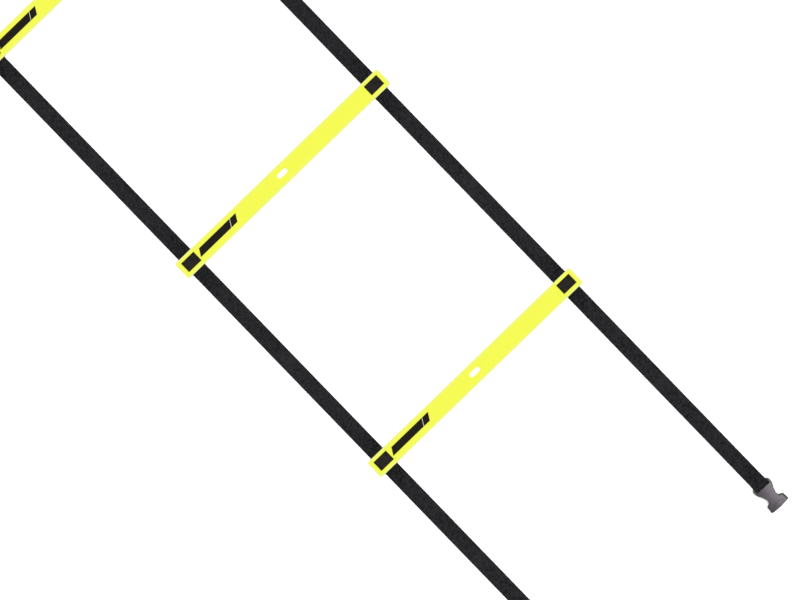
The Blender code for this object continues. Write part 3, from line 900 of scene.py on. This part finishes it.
class Finish:
    """The node tree of one material, or of the world."""

    def __init__(self, owner):
        self.owner = owner
        owner.use_nodes = True
        self.tree = owner.node_tree
        self.tree.nodes.clear()

    def node(self, kind, settings=None, sockets=None):
        """One node: first its settings, then the values or links of its sockets."""
        made = self.tree.nodes.new("ShaderNode" + kind)
        for name, value in (settings or {}).items():
            setattr(made, name, value)
        for key, value in (sockets or {}).items():
            if isinstance(value, Signal):
                self.tree.links.new(value.socket, made.inputs[key])
            else:
                made.inputs[key].default_value = value
        return made

    def signal(self, kind, settings=None, sockets=None, output=0):
        """One output of a new node."""
        return Signal(self, self.node(kind, settings, sockets).outputs[output])

    def parts(self, vector):
        """The three numbers of a vector."""
        split = self.node("SeparateXYZ", None, {0: vector})
        return [Signal(self, output) for output in split.outputs]

    def place(self):
        """The point on the piece, in its own coordinates."""
        return self.signal("TexCoord", output="Object")

    def noise(self, vector, scale, detail):
        """Soft random patches between 0 and 1."""
        return self.signal("TexNoise", None, {"Vector": vector, "Scale": scale, "Detail": detail})

    def each(self, across, along):
        """A random value between 0 and 1 for each whole step of two values."""
        cell = self.signal("CombineXYZ", None, {0: across.math("FLOOR"), 1: along.math("FLOOR")})
        return self.signal("TexWhiteNoise", {"noise_dimensions": "2D"}, {"Vector": cell})

    def mixed(self, share, low, high):
        """A colour between two others."""
        sockets = {"Factor": share, MIX_LOW: low, MIX_HIGH: high}
        return self.signal("Mix", {"data_type": "RGBA"}, sockets, MIX_RESULT)

    def bump(self, height, strength, distance):
        """The surface direction of a fine relief."""
        sockets = {"Height": height, "Strength": strength, "Distance": distance}
        return self.signal("Bump", None, sockets)

    def shaded(self, colour, rough, relief, gloss):
        """Ends a material in the Principled shader."""
        shader = self.signal("BsdfPrincipled", None, {
            "Base Color": colour, "Roughness": rough, "Normal": relief, "Specular IOR Level": gloss,
        })
        return self.ended(shader, "OutputMaterial")

    def ended(self, shader, kind):
        """Joins the shader to the output and gives back the material or world."""
        self.node(kind, None, {"Surface": shader})
        return self.owner


def new_finish(name):
    """A finish for a new material."""
    return Finish(bpy.data.materials.new(name))


def ramp(past, blur):
    """Rises from 0 to 1 over the blur, with the distance past a place."""
    return (past * (1 / blur)).clamped()


def band(value, low, high, blur):
    """1 between two values and 0 outside them, with blurred edges."""
    return ramp(value - low, blur) * ramp(high - value, blur)


def from_half(value):
    """1 at each whole number and 0 halfway between two."""
    return abs(value.math("FRACT") - 0.5) * 2


def rung_finish():
    """Yellow moulded plastic, with two slanted stripes printed near its left end, a painted highlight
    along its rim and painted shade on its window floors.
    """
    finish = new_finish("yellow_rung_plastic")
    place = finish.place()
    x, y, z = finish.parts(place)
    from_middle = y - PRINT_SHIFT
    slanted = x - from_middle * PRINT_SLANT
    long_start = PRINT_START
    long_end = long_start + PRINT_LENGTH
    short_start = long_end + PRINT_GAP
    short_end = short_start + PRINT_SHORT_LENGTH
    rows = band(from_middle, -PRINT_HEIGHT / 2, PRINT_HEIGHT / 2, PRINT_BLUR)
    top = ramp(z - PRINT_FLOOR, PRINT_BLUR)
    printed = band(slanted, long_start, short_end, PRINT_BLUR) * rows * top
    white = band(slanted, long_end, short_start, PRINT_BLUR)
    cloud = finish.noise(place, *RUNG_CLOUD)
    grain = finish.noise(place, *RUNG_GRAIN)
    from_side = RUNG_WIDTH / 2 - abs(y)
    from_end = RUNG_LENGTH / 2 - abs(x)
    # Painted highlight along the rung's rounded rim
    painted_rim_highlight = 1 - ramp(from_side.math("MINIMUM", from_end), RIM_HIGHLIGHT_REACH)
    yellow = finish.mixed(cloud, YELLOW_DEEP, YELLOW_PALE)
    plastic = finish.mixed(painted_rim_highlight, yellow, YELLOW_RIM_HIGHLIGHT)
    mottle = finish.noise(place, *PRINT_MOTTLE)
    black = finish.mixed(mottle, PRINT_DEEP, PRINT_PALE)
    ink = finish.mixed(white, black, PRINT_WHITE)
    # Painted shade: the window floor under the strap is darkened so that the gaps beside the strap look
    # shadowed
    painted_window_shade = band(abs(x), WINDOW_SHADE_START, WINDOW_SHADE_END, PRINT_BLUR)
    painted_window_shade *= band(y, -WINDOW_SHADE_REACH, WINDOW_SHADE_REACH, PRINT_BLUR)
    painted_window_shade *= band(z, WINDOW_SHADE_FLOOR, WINDOW_SHADE_TOP, PRINT_BLUR)
    plastic_with_shade = finish.mixed(painted_window_shade, plastic, WINDOW_FLOOR_SHADE)
    colour = finish.mixed(printed, plastic_with_shade, ink)
    moulded = cloud * RUNG_CLOUD_ROUGH + grain * RUNG_GRAIN_ROUGH + RUNG_ROUGH
    rough = moulded + printed * PRINT_ROUGH
    relief = finish.bump(grain - printed * PRINT_RELIEF_SHARE, *RUNG_RELIEF)
    return finish.shaded(colour, rough, relief, RUNG_GLOSS)


def webbing_finish():
    """Black woven webbing of side-by-side cords, each of slanted stitches that meet in a V; painted
    highlight and shade on each loop, painted bounce light in the rung windows.
    """
    finish = new_finish("black_webbing")
    lay = finish.signal("Attribute", {"attribute_name": LAY}, output="Vector")
    across, along, rise = finish.parts(lay)
    field = STRAP_WIDTH / 2 - SELVEDGE_WIDTH
    cords = (across + field) * (1 / CORD_PITCH)
    from_middle = from_half(cords)
    stitches = along * (1 / STITCH_PITCH) + from_middle * CHEVRON_SLOPE
    yarn = 1 - from_half(stitches) ** 2
    tone = finish.each(cords, stitches)
    ridge = 1 - from_middle ** CORD_FLATNESS
    inside = band(abs(across), -FAR, field, SELVEDGE_ROUND)
    selvedge = 1 - from_half(along * (SELVEDGE_STITCHES / STITCH_PITCH)) ** 2
    woven = yarn * ridge * inside + selvedge * (1 - inside) * SELVEDGE_RELIEF_SHARE
    dust = finish.noise(lay, *WEBBING_DUST)
    from_fold = from_half((along - BAY_START) * (1 / RUNG_PITCH))
    creased = 1 - ramp(from_fold, CREASE_SHARE)
    from_rung = FAR
    for number in range(1, RUNG_COUNT + 1):
        from_rung = abs(along - middle(f"rung_{number}").y).math("MINIMUM", from_rung)
    past_bar = (joint_place("left_socket_swing").y - along).math(
        "MAXIMUM", along - joint_place("left_plug_swing").y
    )
    # Darker towards each rung
    toward_rung = 1 - ramp(from_rung, TOWARD_RUNG_REACH)
    sewn = ramp(past_bar + SEAM_REACH, SEAM_BLUR)
    # Painted shade on the loop past the bar
    painted_loop_shade = ramp(past_bar - LOOP_SHADE_START, LOOP_SHADE_BLUR)
    # turned: painted highlight on the crest of the loop over the bar
    turned = ramp(rise - CREST_HIGHLIGHT_HEIGHT, CREST_HIGHLIGHT_RISE)
    weave = woven * WEAVE_PALER + tone * STITCH_PALER + dust * DUST_PALER
    paler = creased * CREASE_PALER + turned * CREST_HIGHLIGHT_PALER
    darker = toward_rung * TOWARD_RUNG_DARKER + sewn * SEAM_DARKER + painted_loop_shade * LOOP_SHADE_DARKER + WEBBING_DARKER
    black = finish.mixed((weave + paler - darker).clamped(), WEBBING_DEEP, WEBBING_PALE)
    # Painted bounce light from the rung, in patches
    bounce_light_patches = (dust * BOUNCE_LIGHT_FROM_DUST + tone * BOUNCE_LIGHT_FROM_STITCH - BOUNCE_LIGHT_LESS).clamped()
    painted_bounce_light = ramp(BOUNCE_LIGHT_REACH - from_rung, BOUNCE_LIGHT_BLUR) * bounce_light_patches
    colour = finish.mixed(painted_bounce_light, black, WEBBING_BOUNCE_LIGHT)
    rough = WEBBING_ROUGH - woven * WEAVE_SMOOTHER
    relief = finish.bump(woven + dust * DUST_RELIEF_SHARE, *WEBBING_RELIEF)
    return finish.shaded(colour, rough, relief, WEBBING_GLOSS)


def thread_finish():
    """Black sewing thread, with a fine twist and a slight sheen."""
    finish = new_finish("black_thread")
    twist = finish.noise(finish.place(), *THREAD_TWIST)
    colour = finish.mixed(twist, THREAD_DEEP, THREAD_PALE)
    rough = twist * THREAD_TWIST_ROUGH + THREAD_ROUGH
    relief = finish.bump(twist, *THREAD_RELIEF)
    return finish.shaded(colour, rough, relief, THREAD_GLOSS)


def buckle_finish():
    """Grey moulded plastic with textured faces; painted shade darkens its sides and the arms beside the
    strap.
    """
    finish = new_finish("grey_buckle_plastic")
    place = finish.place()
    facing = finish.signal("TexCoord", output="Normal")
    _, _, upright = finish.parts(facing)
    _, along, _ = finish.parts(place)
    # Painted shade: the arms beside the strap, and through face every side, take the darker grey
    painted_arm_shade = ramp(SOCKET_SLOT_FRONT - abs(along), ARM_SHADE_BLUR)
    face = ramp(abs(upright) - FACE_START, FACE_BLUR) * (1 - painted_arm_shade * ARM_SHADE_DARK)
    # Paler towards the middle of the buckle's length
    toward_middle = 1 - ramp(abs(abs(along) - MIDDLE_PLACE), MIDDLE_REACH) ** 2
    cloud = finish.noise(place, *BUCKLE_CLOUD)
    grain = finish.noise(place, *BUCKLE_GRAIN)
    mottle = finish.noise(place, *BUCKLE_MOTTLE)
    mottled = cloud * BUCKLE_CLOUD_PALER + mottle * BUCKLE_MOTTLE_PALER
    pale = (toward_middle * MIDDLE_PALER + mottled - BUCKLE_DARKER).clamped()
    plastic = finish.mixed(pale, GREY_DEEP, GREY_PALE)
    colour = finish.mixed(face, GREY_SIDE_SHADE, plastic)
    rough = cloud * BUCKLE_CLOUD_ROUGH + BUCKLE_ROUGH
    relief = finish.bump(grain * face, *BUCKLE_RELIEF)
    return finish.shaded(colour, rough, relief, BUCKLE_GLOSS)


def seen_directly(finish):
    """1 for rays that look at the surroundings, also through glass or in a reflection."""
    path = finish.node("LightPath")
    rays = [Signal(finish, path.outputs[name]) for name in SEEING_RAYS]
    return (rays[0] + rays[1] + rays[2]).clamped()


def ground_finish():
    """White ground that keeps the ladder's shadow."""
    finish = new_finish("white_ground")
    matt = finish.signal("BsdfDiffuse", None, {"Color": GROUND_COLOUR})
    bright = finish.signal("BsdfDiffuse", None, {"Color": GROUND_SEEN_COLOUR})
    ground = finish.signal("MixShader", None, {0: seen_directly(finish), 1: matt, 2: bright})
    return finish.ended(ground, "OutputMaterial")


def light_world():
    """Even soft light from all round, in front of a white backdrop."""
    world = bpy.data.worlds.new("white_studio")
    bpy.context.scene.world = world
    finish = Finish(world)
    light = finish.signal("Background", None, {"Color": WHITE, "Strength": SKY_LIGHT})
    backdrop = finish.signal("Background", None, {"Color": WHITE, "Strength": BACKDROP_LIGHT})
    sky = finish.signal("MixShader", None, {0: seen_directly(finish), 1: light, 2: backdrop})
    finish.ended(sky, "OutputWorld")


FINISHES = {
    "rung": rung_finish(),
    "webbing": webbing_finish(),
    "thread": thread_finish(),
    "buckle": buckle_finish(),
}
SOCKET_MESH = make_socket_mesh()

add_camera()
add_lamp("key_softbox", KEY_LIGHT, KEY_SPREAD, KEY_TILT)
add_lamp("fill_softbox", FILL_LIGHT, FILL_SPREAD)
light_world()
add_ground()
add_ladder()
bpy.context.scene.view_settings.view_transform = "Standard"
